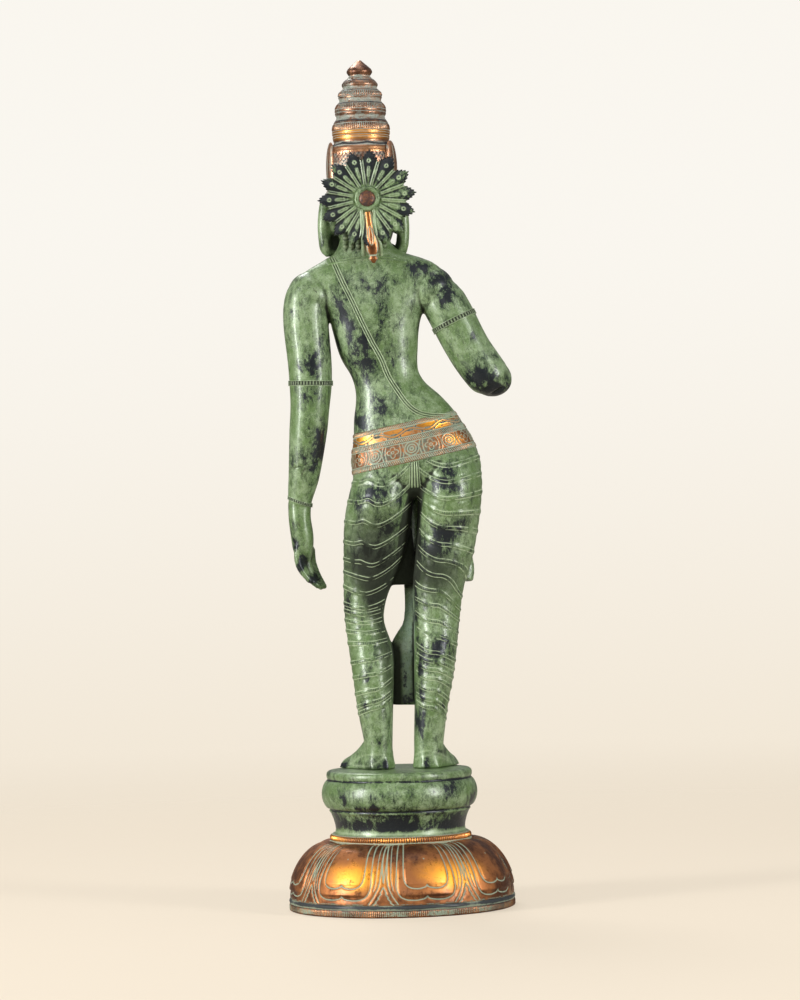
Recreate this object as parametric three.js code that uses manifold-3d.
// A standing goddess figure in cast bronze on a round lotus plinth, at real size in millimetres.
// +Z is up, the figure faces -Y and its left hand is on the +X side.
// The origin is the centre of the plinth's flat underside.
import * as THREE from "three";
import { mergeVertices } from "three/addons/utils/BufferGeometryUtils.js";
import Module from "manifold-3d";

const wasm = await Module();
wasm.setup();

// Driving dimensions of the plinth, from its rim up.
const RIM_RADIUS = 81.6;
const RIM_HEIGHT = 9;
const RIM_CHAMFER = 1;
const BELL_HEIGHT = 38.8;
const BEAD_RING_RADIUS = 50;
const BEAD_RING_HEIGHT = 5.5;
const BEAD_ROUND = 0.6;
const NECK_RADIUS = 46.5;
const COVE_HEIGHT = 17.4;
const CUSHION_RADIUS = 56;
const CUSHION_HEIGHT = 22.3;
const SEAT_RADIUS = 47;
const SEAT_HEIGHT = 7;
const PETALS = 8;
const PETAL_TURN = -0.225;
const PETAL_RISE = 1.8;
const FLUTE_DEPTH = 0.6;
const GROOVE_DEPTH = 0.8;

const BELL_TOP = RIM_HEIGHT + BELL_HEIGHT;
const RING_TOP = BELL_TOP + BEAD_RING_HEIGHT;
const CUSHION_BOTTOM = RING_TOP + COVE_HEIGHT;
const CUSHION_TOP = CUSHION_BOTTOM + CUSHION_HEIGHT;
const PLINTH_HEIGHT = CUSHION_TOP + SEAT_HEIGHT;

// Driving dimensions of the figure. It is drawn as a pattern 510 high, measured from the soles,
// and every station below is enlarged or reduced from that pattern to the figure's own height.
const FIGURE_HEIGHT = 509.7;
const PATTERN_HEIGHT = 510;
const FOOT_GAP = 0.3;
const SHARE = FIGURE_HEIGHT / PATTERN_HEIGHT;

// Ornament sizes.
const FOLDS_PER_LEG = 8;
const FOLD_RISE = 0.9;
const FOLD_EDGE = 1.6;
const BELT_HEIGHT = 29;
const BELT_SLOPE = -0.2;
const BELT_RISE = 0.8;
const BELT_BEAD_RISE = 1.6;
const ARMLET_RISE = 1.4;
const ARMLET_WIDTH = 3;
const DISC_PETALS = 15;
const DISC_RADIUS = 36.5;
const DISC_THICKNESS = 2.6;
const DISC_STEM = 9;
const THREAD_RADIUS = 1.9;

// Facets that lie within this distance of one plane are merged.
const FACET_TOLERANCE = 0.45;

const BRONZE_GREEN = { color: 0x5f8a4e, roughness: 0.45, metalness: 0.35 };
const BRONZE_GILT = { color: 0xa5651f, roughness: 0.3, metalness: 0.9 };

const TAU = Math.PI * 2;
const { lerp, clamp } = THREE.MathUtils;

// Solids from meshes

// A closed mesh as a solid, its faces turned outwards.
function solidOf(geometry) {
  geometry.deleteAttribute("normal");
  geometry.deleteAttribute("uv");
  const merged = mergeVertices(geometry, 1e-4);
  const triVerts = new Uint32Array(merged.index.array);
  const vertProperties = merged.attributes.position.array;
  const solid = new wasm.Manifold(new wasm.Mesh({ numProp: 3, vertProperties, triVerts }));
  if (solid.volume() > 0) return solid;
  for (let i = 0; i < triVerts.length; i += 3) {
    [triVerts[i + 1], triVerts[i + 2]] = [triVerts[i + 2], triVerts[i + 1]];
  }
  return new wasm.Manifold(new wasm.Mesh({ numProp: 3, vertProperties, triVerts }));
}

// A solid as a geometry for a mesh.
function geometryOf(solid) {
  const { numProp, numVert, vertProperties, triVerts } = solid.getMesh();
  const points = new Float32Array(numVert * 3);
  for (let i = 0; i < numVert; i++) {
    points.set(vertProperties.subarray(i * numProp, i * numProp + 3), i * 3);
  }
  const geometry = new THREE.BufferGeometry();
  geometry.setAttribute("position", new THREE.BufferAttribute(points, 3));
  geometry.setIndex(new THREE.BufferAttribute(triVerts, 1));
  geometry.computeVertexNormals();
  return geometry;
}

const centreOf = (ring) =>
  ring.reduce((sum, p) => sum.add(p), new THREE.Vector3()).divideScalar(ring.length);

// A closed solid through rings of points, each ring with as many points as the next.
function skin(rings) {
  const around = rings[0].length;
  const last = rings.length - 1;
  const points = [...rings.flat(), centreOf(rings[0]), centreOf(rings[last])];
  const bottom = points.length - 2;
  const top = points.length - 1;
  const faces = [];
  for (let i = 0; i < around; i++) {
    const j = (i + 1) % around;
    faces.push(bottom, j, i);
    faces.push(top, last * around + i, last * around + j);
    for (let row = 0; row < last; row++) {
      const low = row * around;
      const high = low + around;
      faces.push(low + i, low + j, high + j);
      faces.push(low + i, high + j, high + i);
    }
  }
  const geometry = new THREE.BufferGeometry().setFromPoints(points);
  geometry.setIndex(faces);
  return solidOf(geometry);
}

const unite = (solids) => solids.reduce((whole, solid) => whole.add(solid));

// The main body of a union, without the slivers that may be shut in between touching pieces.
const largest = (solid) => solid.decompose().sort((a, b) => b.volume() - a.volume())[0];

// Smooth interpolation between stations

// The values at place t of a list of stations, whose first number is that place.
function stationAt(stations, t) {
  const last = stations.length - 1;
  const place = clamp(t, stations[0][0], stations[last][0]);
  let k = 0;
  while (k < last - 1 && stations[k + 1][0] <= place) k++;
  const [before, from, to, after] = [
    stations[Math.max(k - 1, 0)],
    stations[k],
    stations[k + 1],
    stations[Math.min(k + 2, last)],
  ];
  const span = to[0] - from[0];
  const s = (place - from[0]) / span;
  return from.map((value, n) => {
    if (n === 0) return place;
    const slopeIn = ((to[n] - before[n]) / Math.max(to[0] - before[0], 1e-6)) * span;
    const slopeOut = ((after[n] - value) / Math.max(after[0] - from[0], 1e-6)) * span;
    const s2 = s * s;
    const s3 = s2 * s;
    return (
      (2 * s3 - 3 * s2 + 1) * value +
      (s3 - 2 * s2 + s) * slopeIn +
      (3 * s2 - 2 * s3) * to[n] +
      (s3 - s2) * slopeOut
    );
  });
}

// A point of a level section at an angle: angle 0 is the figure's left and a quarter turn is its back.
// A station is [height, x, y, half width, half depth to the front, half depth to the back].
function levelPoint(stations, height, angle, rise = 0) {
  const [, x, y, wide, front, back] = stationAt(stations, height);
  const deep = Math.sin(angle) < 0 ? front : back;
  return new THREE.Vector3(
    x + (wide + rise) * Math.cos(angle),
    y + (deep + rise) * Math.sin(angle),
    height,
  );
}

// A form with level sections, one row of points for each height and rise in rows.
function levelForm(stations, around, rows, droop = () => 0) {
  const rings = rows.map(({ height, rise = 0, slack = 0 }) =>
    Array.from({ length: around }, (_, i) => {
      const angle = (i / around) * TAU;
      return levelPoint(stations, height - slack * droop(angle), angle, rise);
    }),
  );
  return skin(rings);
}

const evenRows = (from, to, count) =>
  Array.from({ length: count }, (_, i) => ({ height: lerp(from, to, i / (count - 1)) }));

// A limb along a curve. A station is [share of the way, x, y, z, half width, half depth].
function limb(stations, around, rows, across = new THREE.Vector3(1, 0, 0)) {
  const rings = rows.map(({ height: t, rise = 0 }) => {
    const [, x, y, z, wide, deep] = stationAt(stations, t);
    const ahead = stationAt(stations, t + 0.01);
    const behind = stationAt(stations, t - 0.01);
    const along = new THREE.Vector3(ahead[1] - behind[1], ahead[2] - behind[2], ahead[3] - behind[3]);
    along.normalize();
    const side = across.clone().addScaledVector(along, -across.dot(along)).normalize();
    const depth = along.clone().cross(side);
    return Array.from({ length: around }, (_, i) => {
      const angle = (i / around) * TAU;
      return new THREE.Vector3(x, y, z)
        .addScaledVector(side, (wide + rise) * Math.cos(angle))
        .addScaledVector(depth, (deep + rise) * Math.sin(angle));
    });
  });
  return skin(rings);
}

// Rows for a limb, with a raised band at each of the given places.
function bandedRows(count, bands, length) {
  const half = ARMLET_WIDTH / 2 / length;
  const edge = half * 1.25;
  const plain = evenRows(0, 1, count).filter(({ height }) =>
    bands.every((at) => Math.abs(height - at) > edge * 1.6),
  );
  const raised = bands.flatMap((at) => [
    { height: at - edge },
    { height: at - half, rise: ARMLET_RISE },
    { height: at + half, rise: ARMLET_RISE },
    { height: at + edge },
  ]);
  return [...plain, ...raised].sort((a, b) => a.height - b.height);
}

function ball(x, y, z, rx, ry, rz, around = 12, rows = 8) {
  const geometry = new THREE.SphereGeometry(1, around, rows);
  geometry.rotateX(Math.PI / 2);
  geometry.scale(rx, ry, rz);
  geometry.translate(x, y, z);
  return solidOf(geometry);
}

// Legs, garment and feet

const LEFT_LEG = [
  [3, 15.0, 6.5, 10.5, 12.5, 12.5],
  [10, 14.4, 7.5, 9.9, 11.5, 11.5],
  [18, 14.2, 8.0, 9.9, 11.5, 11.5],
  [44, 15.9, 7.0, 12.7, 14, 15],
  [65, 16.6, 5.0, 14.4, 16, 18],
  [84, 17.6, 1.5, 15.7, 17.5, 18.5],
  [105, 22.0, -4.0, 13.8, 18, 17],
  [116, 21.8, -4.8, 14.4, 18.6, 18],
  [127, 20.2, -5.0, 16.2, 19.5, 19],
  [149, 14.6, -3.0, 21.2, 22, 22],
  [168, 11.8, -1.0, 23.4, 23.5, 23.5],
  [180, 10.2, 0.4, 23.9, 24, 27.5],
  [192, 8.4, 1.2, 23.4, 24, 30],
  [206, 6.0, 2.0, 22.0, 22.5, 25.5],
  [222, 4.0, 2.0, 20.0, 20, 21],
  [232, 4.0, 2.0, 14.0, 14, 13],
];
const RIGHT_LEG = [
  [3, -21.7, 6.5, 10.5, 12.5, 12.5],
  [10, -21.7, 7.5, 10.3, 11.5, 11.5],
  [18, -21.9, 8.0, 10.4, 11.5, 11.5],
  [44, -24.4, 8.0, 11.8, 14, 15],
  [65, -26.8, 7.5, 13.8, 16, 18],
  [84, -28.4, 6.0, 15.1, 17, 19],
  [105, -29.9, 3.5, 16.2, 18, 17],
  [127, -31.5, 3.0, 18.0, 20, 19],
  [149, -36.0, 3.5, 20.5, 22, 22],
  [168, -39.0, 4.2, 21.6, 23.5, 23.5],
  [182, -40.6, 4.6, 22.4, 24, 27.5],
  [195, -41.6, 5.0, 22.8, 25, 29.5],
  [208, -42.0, 5.0, 22.8, 25, 27.5],
  [224, -40.0, 4.0, 20.0, 21, 21],
  [234, -38.0, 3.0, 14.0, 14, 13],
];
const HEM_HEIGHT = 17;
const GARMENT_TOP = 206;

// The rows of a leg. The garment clings to it in folds, each with a raised lower edge that hangs
// in a shallow arc.
function legRows() {
  const step = (GARMENT_TOP - HEM_HEIGHT) / FOLDS_PER_LEG;
  const folds = Array.from({ length: FOLDS_PER_LEG }, (_, i) => {
    const height = HEM_HEIGHT + step * (i + 0.35);
    return [
      { height: height - FOLD_EDGE, slack: 1 },
      { height, rise: FOLD_RISE, slack: 1 },
    ];
  });
  return [{ height: 3 }, ...folds.flat(), { height: 205 }, { height: 216 }, { height: 232 }];
}

// Folds hang lowest at the back and front of a leg and are caught up towards its inner side.
const foldDroop = (inner) => (angle) => {
  const deepest = Math.sin(angle) ** 2;
  return 3.2 * deepest - 2.4 * Math.max(0, Math.cos(angle) * inner);
};

// A foot is drawn about its ankle with its big toe on the -X side, then turned outwards and set down.
// Each contour is [height, how far forward the toes reach, depth of the clefts between them,
// half width at the toes, half width at the ankle, how far back the heel reaches].
const TOES = 5;
const FOOT_CONTOURS = [
  [0, 39.5, 3.6, 12.4, 10.0, 12.6],
  [2.6, 41.0, 4.2, 12.8, 10.6, 13.4],
  [6.2, 38.0, 3.4, 11.8, 10.6, 13.2],
  [8.4, 28.0, 0, 10.4, 10.3, 12.4],
  [13.0, 17.0, 0, 9.4, 10.0, 11.6],
  [19.0, 9.5, 0, 7.6, 9.4, 11.0],
];
function foot(ankleX, ankleY, turn) {
  const rings = FOOT_CONTOURS.map(([height, reach, cleft, toesWide, ankleWide, heel]) => {
    const at = (x, y) => new THREE.Vector3(x, y, height);
    const toes = Array.from({ length: TOES * 2 + 1 }, (_, i) => {
      const across = i / TOES - 1;
      const forward = reach * (1 - 0.2 * (across + 1) / 2) - (i % 2 ? 0 : cleft);
      return at(toesWide * across, -forward);
    });
    const outside = [
      at(toesWide * 1.02, -reach * 0.55),
      at(ankleWide, -reach * 0.12),
      at(ankleWide * 0.86, heel * 0.6),
    ];
    const inside = outside.map((p) => at(-p.x, p.y)).reverse();
    return [...toes, ...outside, at(0, heel), ...inside];
  });
  return skin(rings)
    .scale([Math.sign(turn), 1, 1])
    .rotate([0, 0, turn])
    .translate([ankleX, ankleY, 0]);
}

// The sash that hangs in front between the legs, its end spread against both calves.
const SASH = [
  [0, -14.5, -21, 222, 8, 4.5],
  [0.2, -14.5, -23, 188, 8.5, 4.5],
  [0.45, -14.2, -16, 146, 7.5, 3.8],
  [0.7, -13.4, -7, 104, 7.2, 3.6],
  [0.82, -8.5, -3, 84, 12.5, 4],
  [1, -7.5, -2, 45, 11.5, 3.6],
];
// A short sash on the outer side of the right thigh.
const SIDE_SASH = [
  [0, -48, -14, 232, 5, 4],
  [0.35, -53, -14, 200, 5.2, 4],
  [0.72, -51, -12.5, 160, 4.8, 3.6],
  [0.9, -51.5, -11, 142, 6.6, 4.4],
  [1, -51, -10, 133, 6, 4.2],
];

// Torso and arms

const TORSO_FACETS = 20;
const TORSO = [
  [194, -18.0, 3, 22.0, 10.0, 12.0],
  [204, -18.0, 3, 43.0, 21.0, 21.0],
  [213, -18.6, 3, 46.0, 23.7, 25.0],
  [224, -17.6, 3, 45.4, 24.0, 25.5],
  [236, -16.0, 3, 42.2, 23.5, 23.5],
  [252, -11.6, 2.5, 37.0, 22.5, 20.5],
  [260, -9.2, 2, 33.4, 21.5, 19.0],
  [268, -5.8, 1.5, 29.4, 20.0, 18.0],
  [276, -0.8, 1, 25.4, 18.5, 17.0],
  [284, 3.0, 1, 24.4, 18.0, 16.5],
  [292, 5.8, 1, 26.4, 18.5, 17.0],
  [300, 7.2, 1.5, 28.3, 19.0, 18.0],
  [314, 8.4, 2, 30.6, 20.0, 19.5],
  [324, 8.6, 2.5, 33.0, 20.5, 20.0],
  [332, 9.0, 3, 37.5, 20.0, 20.0],
  [340, 9.5, 3, 44.0, 19.0, 19.5],
  [348, 10.0, 3.5, 51.0, 17.5, 18.5],
  [356, 9.8, 4, 50.5, 15.5, 17.0],
  [364, 8.4, 4, 39.0, 14.0, 15.5],
  [370, 12.2, 3, 25.0, 14.0, 15.0],
  [376, 14.4, 2, 19.2, 14.0, 14.5],
  [386, 14.5, 1, 16.5, 13.5, 14.5],
  [400, 14.5, 0, 15.0, 13.0, 14.0],
];
const LEFT_ARM = [
  [0, 57.0, 4, 353.5, 4, 4],
  [0.03, 57.4, 4, 348, 11.5, 12],
  [0.09, 57.8, 4, 339, 15.2, 15.2],
  [0.18, 58.6, 4, 324, 16.0, 16.2],
  [0.38, 56.4, 5, 292, 15.5, 15.4],
  [0.47, 56.2, 5, 277, 15.0, 14.5],
  [0.57, 57.2, 4.5, 260, 13.8, 13.8],
  [0.67, 58.8, 3, 244, 13.4, 13.2],
  [0.86, 62.8, -1, 212, 11.0, 10.4],
  [0.94, 65.4, -3, 199, 9.2, 8.4],
  [1, 66.8, -4, 188, 7.2, 6.6],
];
const RIGHT_UPPER_ARM = [
  [0, -36.5, 4, 351, 4, 4],
  [0.05, -37.4, 4, 346, 11.2, 12],
  [0.15, -39.6, 4, 337, 15.2, 15.2],
  [0.34, -46.0, 4.5, 324, 16.0, 16.0],
  [0.66, -57.8, 5.5, 300, 15.6, 15.4],
  [0.86, -68.2, 6.5, 284, 15.4, 15.0],
  [0.96, -74.4, 7, 276, 14.0, 13.6],
  [1, -77.6, 7, 270.5, 9.0, 8.8],
];
const RIGHT_FOREARM = [
  [0, -74.0, 12, 274.5, 10.5, 8.5],
  [0.12, -74.4, 4, 277, 14, 12.4],
  [0.35, -71.0, -12, 284, 13.2, 12],
  [0.65, -62.5, -35, 298, 11, 10.5],
  [0.88, -56.5, -50, 309, 8.2, 7.4],
  [1, -53.6, -57, 315, 6.8, 6.4],
];
const LEFT_ARM_LENGTH = 166;
const UPPER_ARM_LENGTH = 90;
const FOREARM_LENGTH = 82;

// A hand's digits: each is a thin limb through the points of its knuckles.
function digit(points, thick, tip = 0.62) {
  const last = points.length - 1;
  const stations = points.map(([x, y, z], n) => {
    const size = thick * lerp(1, tip, n / last);
    return [n / last, x, y, z, size, size];
  });
  return limb(stations, 5, evenRows(0, 1, 4));
}

// The hanging left hand: its palm faces the thigh and its fingers curl in towards it.
function leftHand() {
  const palm = [
    [0, 66.6, -4, 192, 8.2, 7],
    [0.3, 66.8, -5, 181, 7.8, 8.2],
    [0.7, 65.3, -7, 167, 7.9, 8.6],
    [1, 65.0, -8, 157, 7.0, 7.6],
  ];
  const parts = [limb(palm, 8, evenRows(0, 1, 4))];
  const fingers = [
    [[59.5, -13, 160], [58.6, -13, 150], [55.6, -12, 141], [50.4, -10, 131.2]],
    [[62.5, -9.5, 161], [62.2, -10, 149], [59.0, -9.5, 139], [53.0, -8.5, 130.8]],
    [[65.5, -6, 161], [66.3, -6.5, 149], [62.6, -6.5, 139.5], [55.5, -6.2, 132]],
    [[68.0, -2.5, 162], [69.0, -3, 152], [67.0, -3.5, 144], [61.0, -4, 136]],
  ];
  for (const knuckles of fingers) parts.push(digit(knuckles, 2.9));
  const thumb = [
    [63, -11, 178],
    [62, -15.5, 168],
    [61, -17, 159],
    [60.4, -17, 150],
  ];
  parts.push(digit(thumb, 3.0));
  return unite(parts);
}

// The raised right hand, its fingers and thumb brought together as if to hold a flower's stem.
function rightHand() {
  const palm = [
    [0, -54.2, -55, 313, 6.4, 6],
    [0.4, -51.4, -60.5, 321, 8.4, 5.6],
    [1, -48.6, -62.5, 332, 9.4, 4.8],
  ];
  const parts = [limb(palm, 8, evenRows(0, 1, 4))];
  for (let n = 0; n < 4; n++) {
    const x = -55.4 + n * 4.6;
    const closed = n / 3;
    parts.push(
      digit(
        [
          [x, -62, 329],
          [x + 0.6, -64.4, 339 + (1 - closed) * 2],
          [x + 0.8, -70.6, 340 + (1 - closed) * 4],
          [x + 0.4 - closed * 0.5, -74.2, 334 + (1 - closed) * 7],
        ],
        2.7,
      ),
    );
  }
  const thumb = [
    [-46.0, -60, 320],
    [-43.4, -66, 324],
    [-43.2, -71.5, 328],
    [-43.6, -74.0, 331.5],
  ];
  parts.push(digit(thumb, 2.9));
  return unite(parts);
}

// Head, ears and crown

const HEAD_X = 14.5;
const HEAD = [
  [367, HEAD_X, -9, 5.5, 6, 8],
  [371, HEAD_X, -8, 12.2, 11.8, 13],
  [377, HEAD_X, -6, 17.2, 15.4, 18.5],
  [385, HEAD_X, -5, 20.4, 17.0, 23.5],
  [393, HEAD_X, -4, 22.0, 18.4, 26.0],
  [401, HEAD_X, -4, 22.8, 19.0, 27.0],
  [411, HEAD_X, -3.5, 23.0, 19.6, 27.0],
  [421, HEAD_X, -3, 22.4, 19.2, 25.5],
  [431, HEAD_X, -3, 20.0, 17.4, 22.0],
];

function face() {
  const nose = [
    [0, HEAD_X, -22.2, 399, 1.8, 1.6],
    [0.6, HEAD_X, -24.4, 389.5, 2.3, 2.4],
    [0.85, HEAD_X, -25.0, 385.5, 3.7, 2.8],
    [1, HEAD_X, -22.6, 383.4, 2.8, 1.8],
  ];
  const parts = [
    limb(nose, 6, evenRows(0, 1, 5)),
    ball(HEAD_X, -21.2, 378.6, 5.4, 2.3, 1.4, 6, 4),
    ball(HEAD_X, -20.9, 376.0, 4.3, 2.4, 1.5, 6, 4),
    ball(HEAD_X, -17.6, 371.8, 4.6, 2.8, 2.8, 6, 4),
  ];
  for (const side of [-1, 1]) {
    parts.push(ball(HEAD_X + side * 8.8, -19.0, 393.6, 5.4, 2.7, 2.3, 6, 4));
  }
  return unite(parts);
}

// A long ear whose pierced lobe is a thick hanging loop. Above the loop it is full.
function ear(side) {
  const loop = [
    [0, 21.5, -1, 400, 3, 4],
    [0.15, 26.5, 2, 402, 3.4, 4],
    [0.4, 28.4, 4, 391, 4.2, 4.4],
    [0.65, 28.0, 3, 380, 4.4, 4.6],
    [0.8, 26.4, 2, 373.5, 3.8, 4.6],
    [0.9, 22.6, 1, 372.3, 2.6, 3.4],
    [1, 18.2, -1, 375, 2.4, 3],
  ].map(([t, x, y, z, wide, deep]) => [t, HEAD_X + side * x, y, z, wide, deep]);
  const strap = limb(loop, 6, evenRows(0, 1, 11), new THREE.Vector3(0, 1, 0));
  return strap.add(ball(HEAD_X + side * 22.6, 1, 393, 6, 7, 10, 8, 6));
}

const CROWN_Y = -0.5;
// The crown's outline: its rim, its cap, four stepped tiers and a bud.
const CROWN_PROFILE = [
  [0, 408],
  [24.6, 408],
  [26.6, 410],
  [26.6, 414.5],
  [24.6, 416.5],
  [24.2, 430],
  [22.8, 443],
  [20.6, 447.2],
  [20.9, 457.8],
  [18.4, 461.8],
  [17.2, 466.8],
  [18.4, 471.4],
  [16.4, 475.4],
  [15.4, 479.2],
  [15.8, 482.9],
  [13.4, 486],
  [12.4, 488.2],
  [12.9, 490.8],
  [9.2, 494.6],
  [8.6, 497.6],
  [9.4, 500.2],
  [7.6, 504],
  [0, 510],
];

function crown() {
  const geometry = new THREE.LatheGeometry(
    CROWN_PROFILE.map(([r, z]) => new THREE.Vector2(r, z)),
    14,
  );
  geometry.rotateX(Math.PI / 2);
  geometry.scale(1, 1.05, 1);
  geometry.translate(HEAD_X, CROWN_Y, 0);
  const parts = [solidOf(geometry)];
  // Flat ornaments stand on the crown's rim over the ears and over the brow.
  for (const side of [-1, 1]) {
    parts.push(ball(HEAD_X + side * 22.8, -1, 430, 4, 8, 19, 6, 6));
  }
  parts.push(ball(HEAD_X, -23.8, 428, 8, 3.6, 16, 6, 6));
  return unite(parts);
}

// The wheel of petals behind the head, with its boss and the stem that joins it to the hair.
const DISC_CENTRE = new THREE.Vector3(12.0, 31, 407.5);
function petalDisc() {
  const columns = DISC_PETALS * 4;
  // [radius between petals, radius at a petal's tip, height of the rib between, height of the petal]
  const rows = [
    [DISC_RADIUS * 0.72, DISC_RADIUS * 0.78, 2.2, 0.9],
    [DISC_RADIUS * 0.8, DISC_RADIUS, 1.6, 1.4],
    [DISC_RADIUS * 0.79, DISC_RADIUS * 0.98, -DISC_THICKNESS, -DISC_THICKNESS],
  ];
  const rings = rows.map(([gapRadius, tipRadius, rib, petal]) =>
    Array.from({ length: columns }, (_, i) => {
      const share = [0, 0.62, 1, 0.62][i % 4];
      const angle = ((i + 0.9) / columns) * TAU;
      const radius = lerp(gapRadius, tipRadius, share);
      return new THREE.Vector3(radius * Math.sin(angle), share > 0 ? petal : rib, radius * Math.cos(angle));
    }),
  );
  const boss = new THREE.LatheGeometry(
    [
      [0, -DISC_STEM],
      [6.5, -DISC_STEM],
      [7, -DISC_THICKNESS - 1],
      [8.8, -DISC_THICKNESS + 1],
      [8.6, 2.2],
      [5.9, 3.2],
      [0, 3.2],
    ].map(([radius, out]) => new THREE.Vector2(radius, out)),
    10,
  );
  return skin(rings).add(solidOf(boss)).translate(DISC_CENTRE.toArray());
}

// The long tassel that hangs from the disc's boss down to the shoulders.
function tassel() {
  const stations = [
    [0, 11.8, 33.0, 399, 3.0, 2.0],
    [0.35, 10.8, 32.2, 387, 3.4, 2.0],
    [0.75, 9.0, 30.4, 371.5, 5.2, 2.4],
    [0.85, 8.6, 29.6, 368, 3.8, 2.4],
    [0.93, 8.4, 29.0, 365, 4.2, 3.0],
    [1, 8.2, 28.6, 361.8, 2.4, 2.0],
  ];
  return limb(stations, 6, evenRows(0, 1, 9));
}

// Ornament on the body

// The belt: three rows of beading and the two plain bands between them, on a slope over the hips.
const BELT_MIDDLE = 234.5;
const BELT_X = -17.8;
function belt() {
  const half = BELT_HEIGHT / 2;
  const bead = 2.6;
  const rows = [
    [-half - 0.5, -1],
    [-half, BELT_BEAD_RISE],
    [-half + bead, BELT_RISE],
    [-bead / 2, BELT_RISE],
    [0, BELT_BEAD_RISE],
    [bead / 2, BELT_RISE],
    [half - bead, BELT_RISE],
    [half, BELT_BEAD_RISE],
    [half + 0.5, -1],
  ];
  const around = TORSO_FACETS;
  const rings = rows.map(([up, rise]) =>
    Array.from({ length: around }, (_, i) => {
      const angle = (i / around) * TAU;
      const flat = levelPoint(TORSO, BELT_MIDDLE + up, angle);
      const height = BELT_MIDDLE + up + BELT_SLOPE * (flat.x - BELT_X);
      return levelPoint(TORSO, height, angle, rise);
    }),
  );
  return skin(rings);
}

// A cord laid on the torso through [height, angle] places, closed into a loop.
function cordOnTorso(places, radius, steps) {
  const laid = places.map(([height, turn]) => levelPoint(TORSO, height, turn * TAU, radius * 0.3));
  const curve = new THREE.CatmullRomCurve3(laid, true);
  const rings = Array.from({ length: steps }, (_, k) => {
    const middle = curve.getPoint(k / steps);
    const along = curve.getTangent(k / steps);
    const out = new THREE.Vector3(middle.x - 2, middle.y - 2, 0).normalize();
    const side = along.clone().cross(out).normalize();
    const up = side.clone().cross(along);
    return [0, 1, 2].map((i) =>
      middle
        .clone()
        .addScaledVector(side, radius * Math.sin((i / 3) * TAU))
        .addScaledVector(up, radius * Math.cos((i / 3) * TAU)),
    );
  });
  return loop(rings);
}

// A closed ring of sections, as skin but with its last section joined to its first.
function loop(rings) {
  const around = rings[0].length;
  const faces = [];
  rings.forEach((ring, row) => {
    const low = row * around;
    const high = ((row + 1) % rings.length) * around;
    for (let i = 0; i < around; i++) {
      const j = (i + 1) % around;
      faces.push(low + i, low + j, high + j, low + i, high + j, high + i);
    }
  });
  const geometry = new THREE.BufferGeometry().setFromPoints(rings.flat());
  geometry.setIndex(faces);
  return solidOf(geometry);
}

// The sacred thread crosses the back from the left shoulder to the right hip and returns in front.
const THREAD = [
  [365, 0.2],
  [352, 0.21],
  [338, 0.205],
  [322, 0.21],
  [307, 0.235],
  [296, 0.265],
  [281, 0.285],
  [264, 0.27],
  [256, 0.3],
  [252, 0.4],
  [250, 0.55],
  [262, 0.66],
  [284, 0.72],
  [304, 0.74],
  [324, 0.76],
  [342, 0.8],
  [356, 0.86],
  [365, 0.99],
];

// The whole figure as one casting

// Each foot is [x of its ankle, y of its ankle, degrees turned outwards].
const LEFT_FOOT = [15.0, 6.5, 26];
const RIGHT_FOOT = [-21.7, 6.5, -16];
const BREAST = [14.6, 15, 14.6];
const LEFT_BREAST = [24.5, -13.5, 321];
const RIGHT_BREAST = [-6.5, -13.5, 319.5];
const SHOULDER = [16.2, 15, 16.2];
const LEFT_SHOULDER = [54.5, 4, 341.5];
const RIGHT_SHOULDER = [-32.5, 4, 343];
// Shares of the way down each limb where an armlet or a bangle is.
const LEFT_ARM_BANDS = [0.465, 0.972];
const RIGHT_UPPER_ARM_BANDS = [0.4];
const RIGHT_FOREARM_BANDS = [0.9];

function figure() {
  const parts = [
    levelForm(LEFT_LEG, 14, legRows(), foldDroop(-1)),
    levelForm(RIGHT_LEG, 14, legRows(), foldDroop(1)),
    foot(...LEFT_FOOT),
    foot(...RIGHT_FOOT),
    levelForm(TORSO, TORSO_FACETS, TORSO.map(([height]) => ({ height }))),
    ball(...LEFT_BREAST, ...BREAST, 10, 7),
    ball(...RIGHT_BREAST, ...BREAST, 10, 7),
    ball(...LEFT_SHOULDER, ...SHOULDER, 10, 7),
    ball(...RIGHT_SHOULDER, ...SHOULDER, 10, 7),
    limb(LEFT_ARM, 11, bandedRows(13, LEFT_ARM_BANDS, LEFT_ARM_LENGTH)),
    limb(RIGHT_UPPER_ARM, 11, bandedRows(9, RIGHT_UPPER_ARM_BANDS, UPPER_ARM_LENGTH)),
    limb(RIGHT_FOREARM, 10, bandedRows(7, RIGHT_FOREARM_BANDS, FOREARM_LENGTH)),
    leftHand(),
    rightHand(),
    levelForm(HEAD, 14, evenRows(367, 415, 7)),
    face(),
    ear(-1),
    ear(1),
    crown(),
    petalDisc(),
    tassel(),
    belt(),
    limb(SASH, 8, evenRows(0, 1, 9)),
    limb(SIDE_SASH, 6, evenRows(0, 1, 7)),
    cordOnTorso(THREAD, THREAD_RADIUS, 21),
  ];
  return largest(unite(parts).simplify(FACET_TOLERANCE))
    .scale([SHARE, SHARE, SHARE])
    .translate([0, 0, PLINTH_HEIGHT + FOOT_GAP]);
}

// The lotus plinth

// The bell of the plinth as radius against height, from the rim up to the bead ring.
function bellRadius(height) {
  const up = clamp((height - RIM_HEIGHT) / BELL_HEIGHT, 0, 1);
  const open = Math.sqrt(1 - up ** 1.8);
  return lerp(BEAD_RING_RADIUS + GROOVE_DEPTH, RIM_RADIUS - PETAL_RISE + GROOVE_DEPTH / 2, open);
}

// Half of a petal's width, where a whole petal with its flutes reaches from -1 to 1.
const PETAL_EDGE = 0.72;

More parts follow.
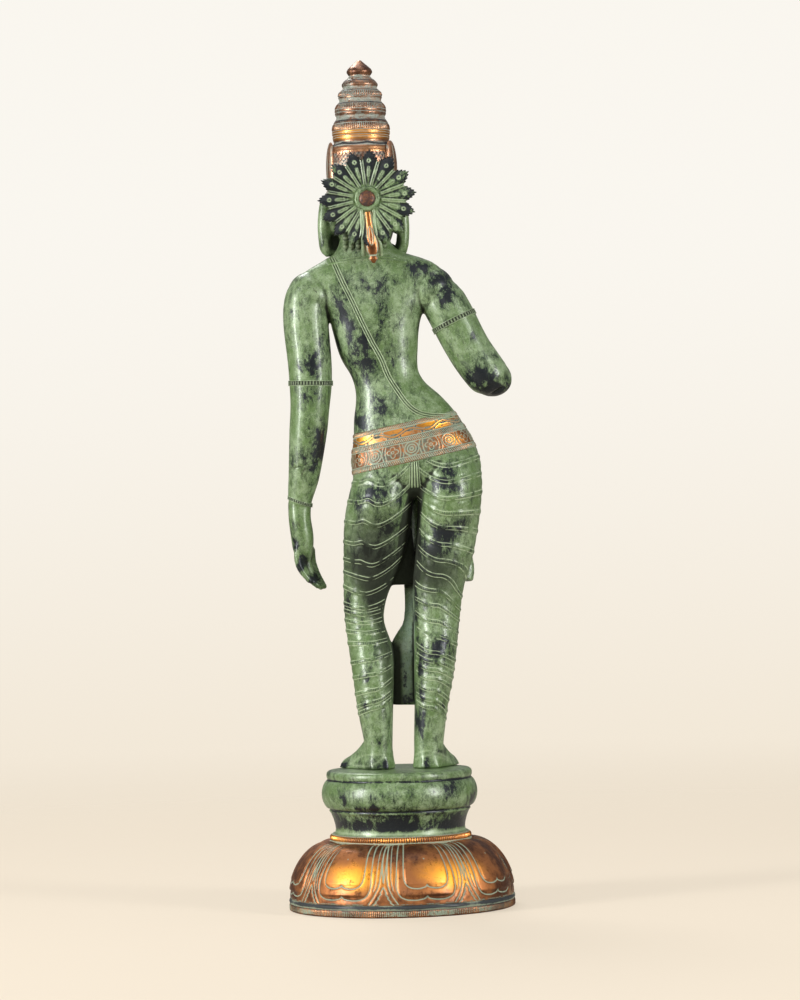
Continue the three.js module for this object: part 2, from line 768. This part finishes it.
// How far a petal's edge stands above the rim, at a place across it: round at both sides and
// cleft like a heart in the middle. Between two petals it rises to the point of a small leaf.
function petalFoot(across) {
  const side = Math.min(1, Math.abs(across) / PETAL_EDGE);
  const round = 1 - Math.sqrt(1 - side ** 4);
  const leaf = Math.max(0, (Math.abs(across) - PETAL_EDGE) / (1 - PETAL_EDGE));
  const cleft = Math.max(0, 1 - Math.abs(across) / 0.2);
  return BELL_HEIGHT * (0.06 + 0.12 * round + 0.16 * leaf + 0.07 * cleft);
}

function plinth() {
  // Places across a petal, from the middle of one flute to the middle of the next.
  const places = [-1, -PETAL_EDGE, -0.6, -0.25, 0, 0.25, 0.6, PETAL_EDGE];
  const columns = Array.from({ length: PETALS }, (_, petal) =>
    places.map((across) => ({ across, angle: ((petal + across / 2) / PETALS) * TAU + PETAL_TURN })),
  ).flat();
  const at = (radius, angle, height) =>
    new THREE.Vector3(radius * Math.sin(angle), radius * Math.cos(angle), height);
  const plainRing = (radius, height) => columns.map(({ angle }) => at(radius, angle, height));
  // A row of the bell, at a share of the way from the petals' edges up to the bead ring.
  const petalRing = (share) =>
    columns.map(({ across, angle }) => {
      const height = lerp(RIM_HEIGHT + petalFoot(across), BELL_TOP, share);
      const onPetal = Math.abs(across) <= PETAL_EDGE;
      const swell = onPetal ? PETAL_RISE * (1 - across * across) : -FLUTE_DEPTH;
      const relief = share === 0 ? -GROOVE_DEPTH : swell * Math.sqrt(1 - share);
      return at(bellRadius(height) + relief, angle, height);
    });
  const bell = skin([
    plainRing(RIM_RADIUS, 0),
    plainRing(RIM_RADIUS, RIM_HEIGHT - RIM_CHAMFER),
    plainRing(RIM_RADIUS - RIM_CHAMFER, RIM_HEIGHT),
    petalRing(0),
    petalRing(0.06),
    petalRing(0.32),
    petalRing(0.66),
    petalRing(1),
  ]);
  const cushion = [0.04, 0.25, 0.5, 0.75, 0.96].map((share) => {
    const swell = Math.sin(share * Math.PI) ** 0.6;
    return [CUSHION_RADIUS * lerp(0.91, 1, swell), CUSHION_BOTTOM + share * CUSHION_HEIGHT];
  });
  const profile = [
    [0, BELL_TOP - BELL_HEIGHT / 4],
    [BEAD_RING_RADIUS - BEAD_ROUND, BELL_TOP - BELL_HEIGHT / 4],
    [BEAD_RING_RADIUS, BELL_TOP],
    [BEAD_RING_RADIUS + BEAD_ROUND, BELL_TOP + BEAD_RING_HEIGHT / 2],
    [BEAD_RING_RADIUS - BEAD_ROUND, RING_TOP],
    [NECK_RADIUS, RING_TOP + COVE_HEIGHT * 0.16],
    [NECK_RADIUS * 1.02, RING_TOP + COVE_HEIGHT * 0.48],
    [CUSHION_RADIUS * 0.9, CUSHION_BOTTOM - COVE_HEIGHT * 0.04],
    ...cushion,
    [CUSHION_RADIUS * 0.92, CUSHION_TOP + SEAT_HEIGHT * 0.07],
    [SEAT_RADIUS * 1.05, CUSHION_TOP + SEAT_HEIGHT * 0.75],
    [SEAT_RADIUS, PLINTH_HEIGHT],
    [0, PLINTH_HEIGHT],
  ];
  const stem = new THREE.LatheGeometry(
    profile.map(([radius, height]) => new THREE.Vector2(radius, height)),
    32,
  );
  stem.rotateX(Math.PI / 2);
  return bell.add(solidOf(stem));
}

function named(name, solid, look) {
  const mesh = new THREE.Mesh(geometryOf(solid), new THREE.MeshStandardMaterial(look));
  mesh.name = name;
  return mesh;
}

const statue = new THREE.Group();
statue.add(named("parvati_figure", figure(), BRONZE_GREEN));
statue.add(named("lotus_plinth", plinth(), BRONZE_GILT));

export default statue;
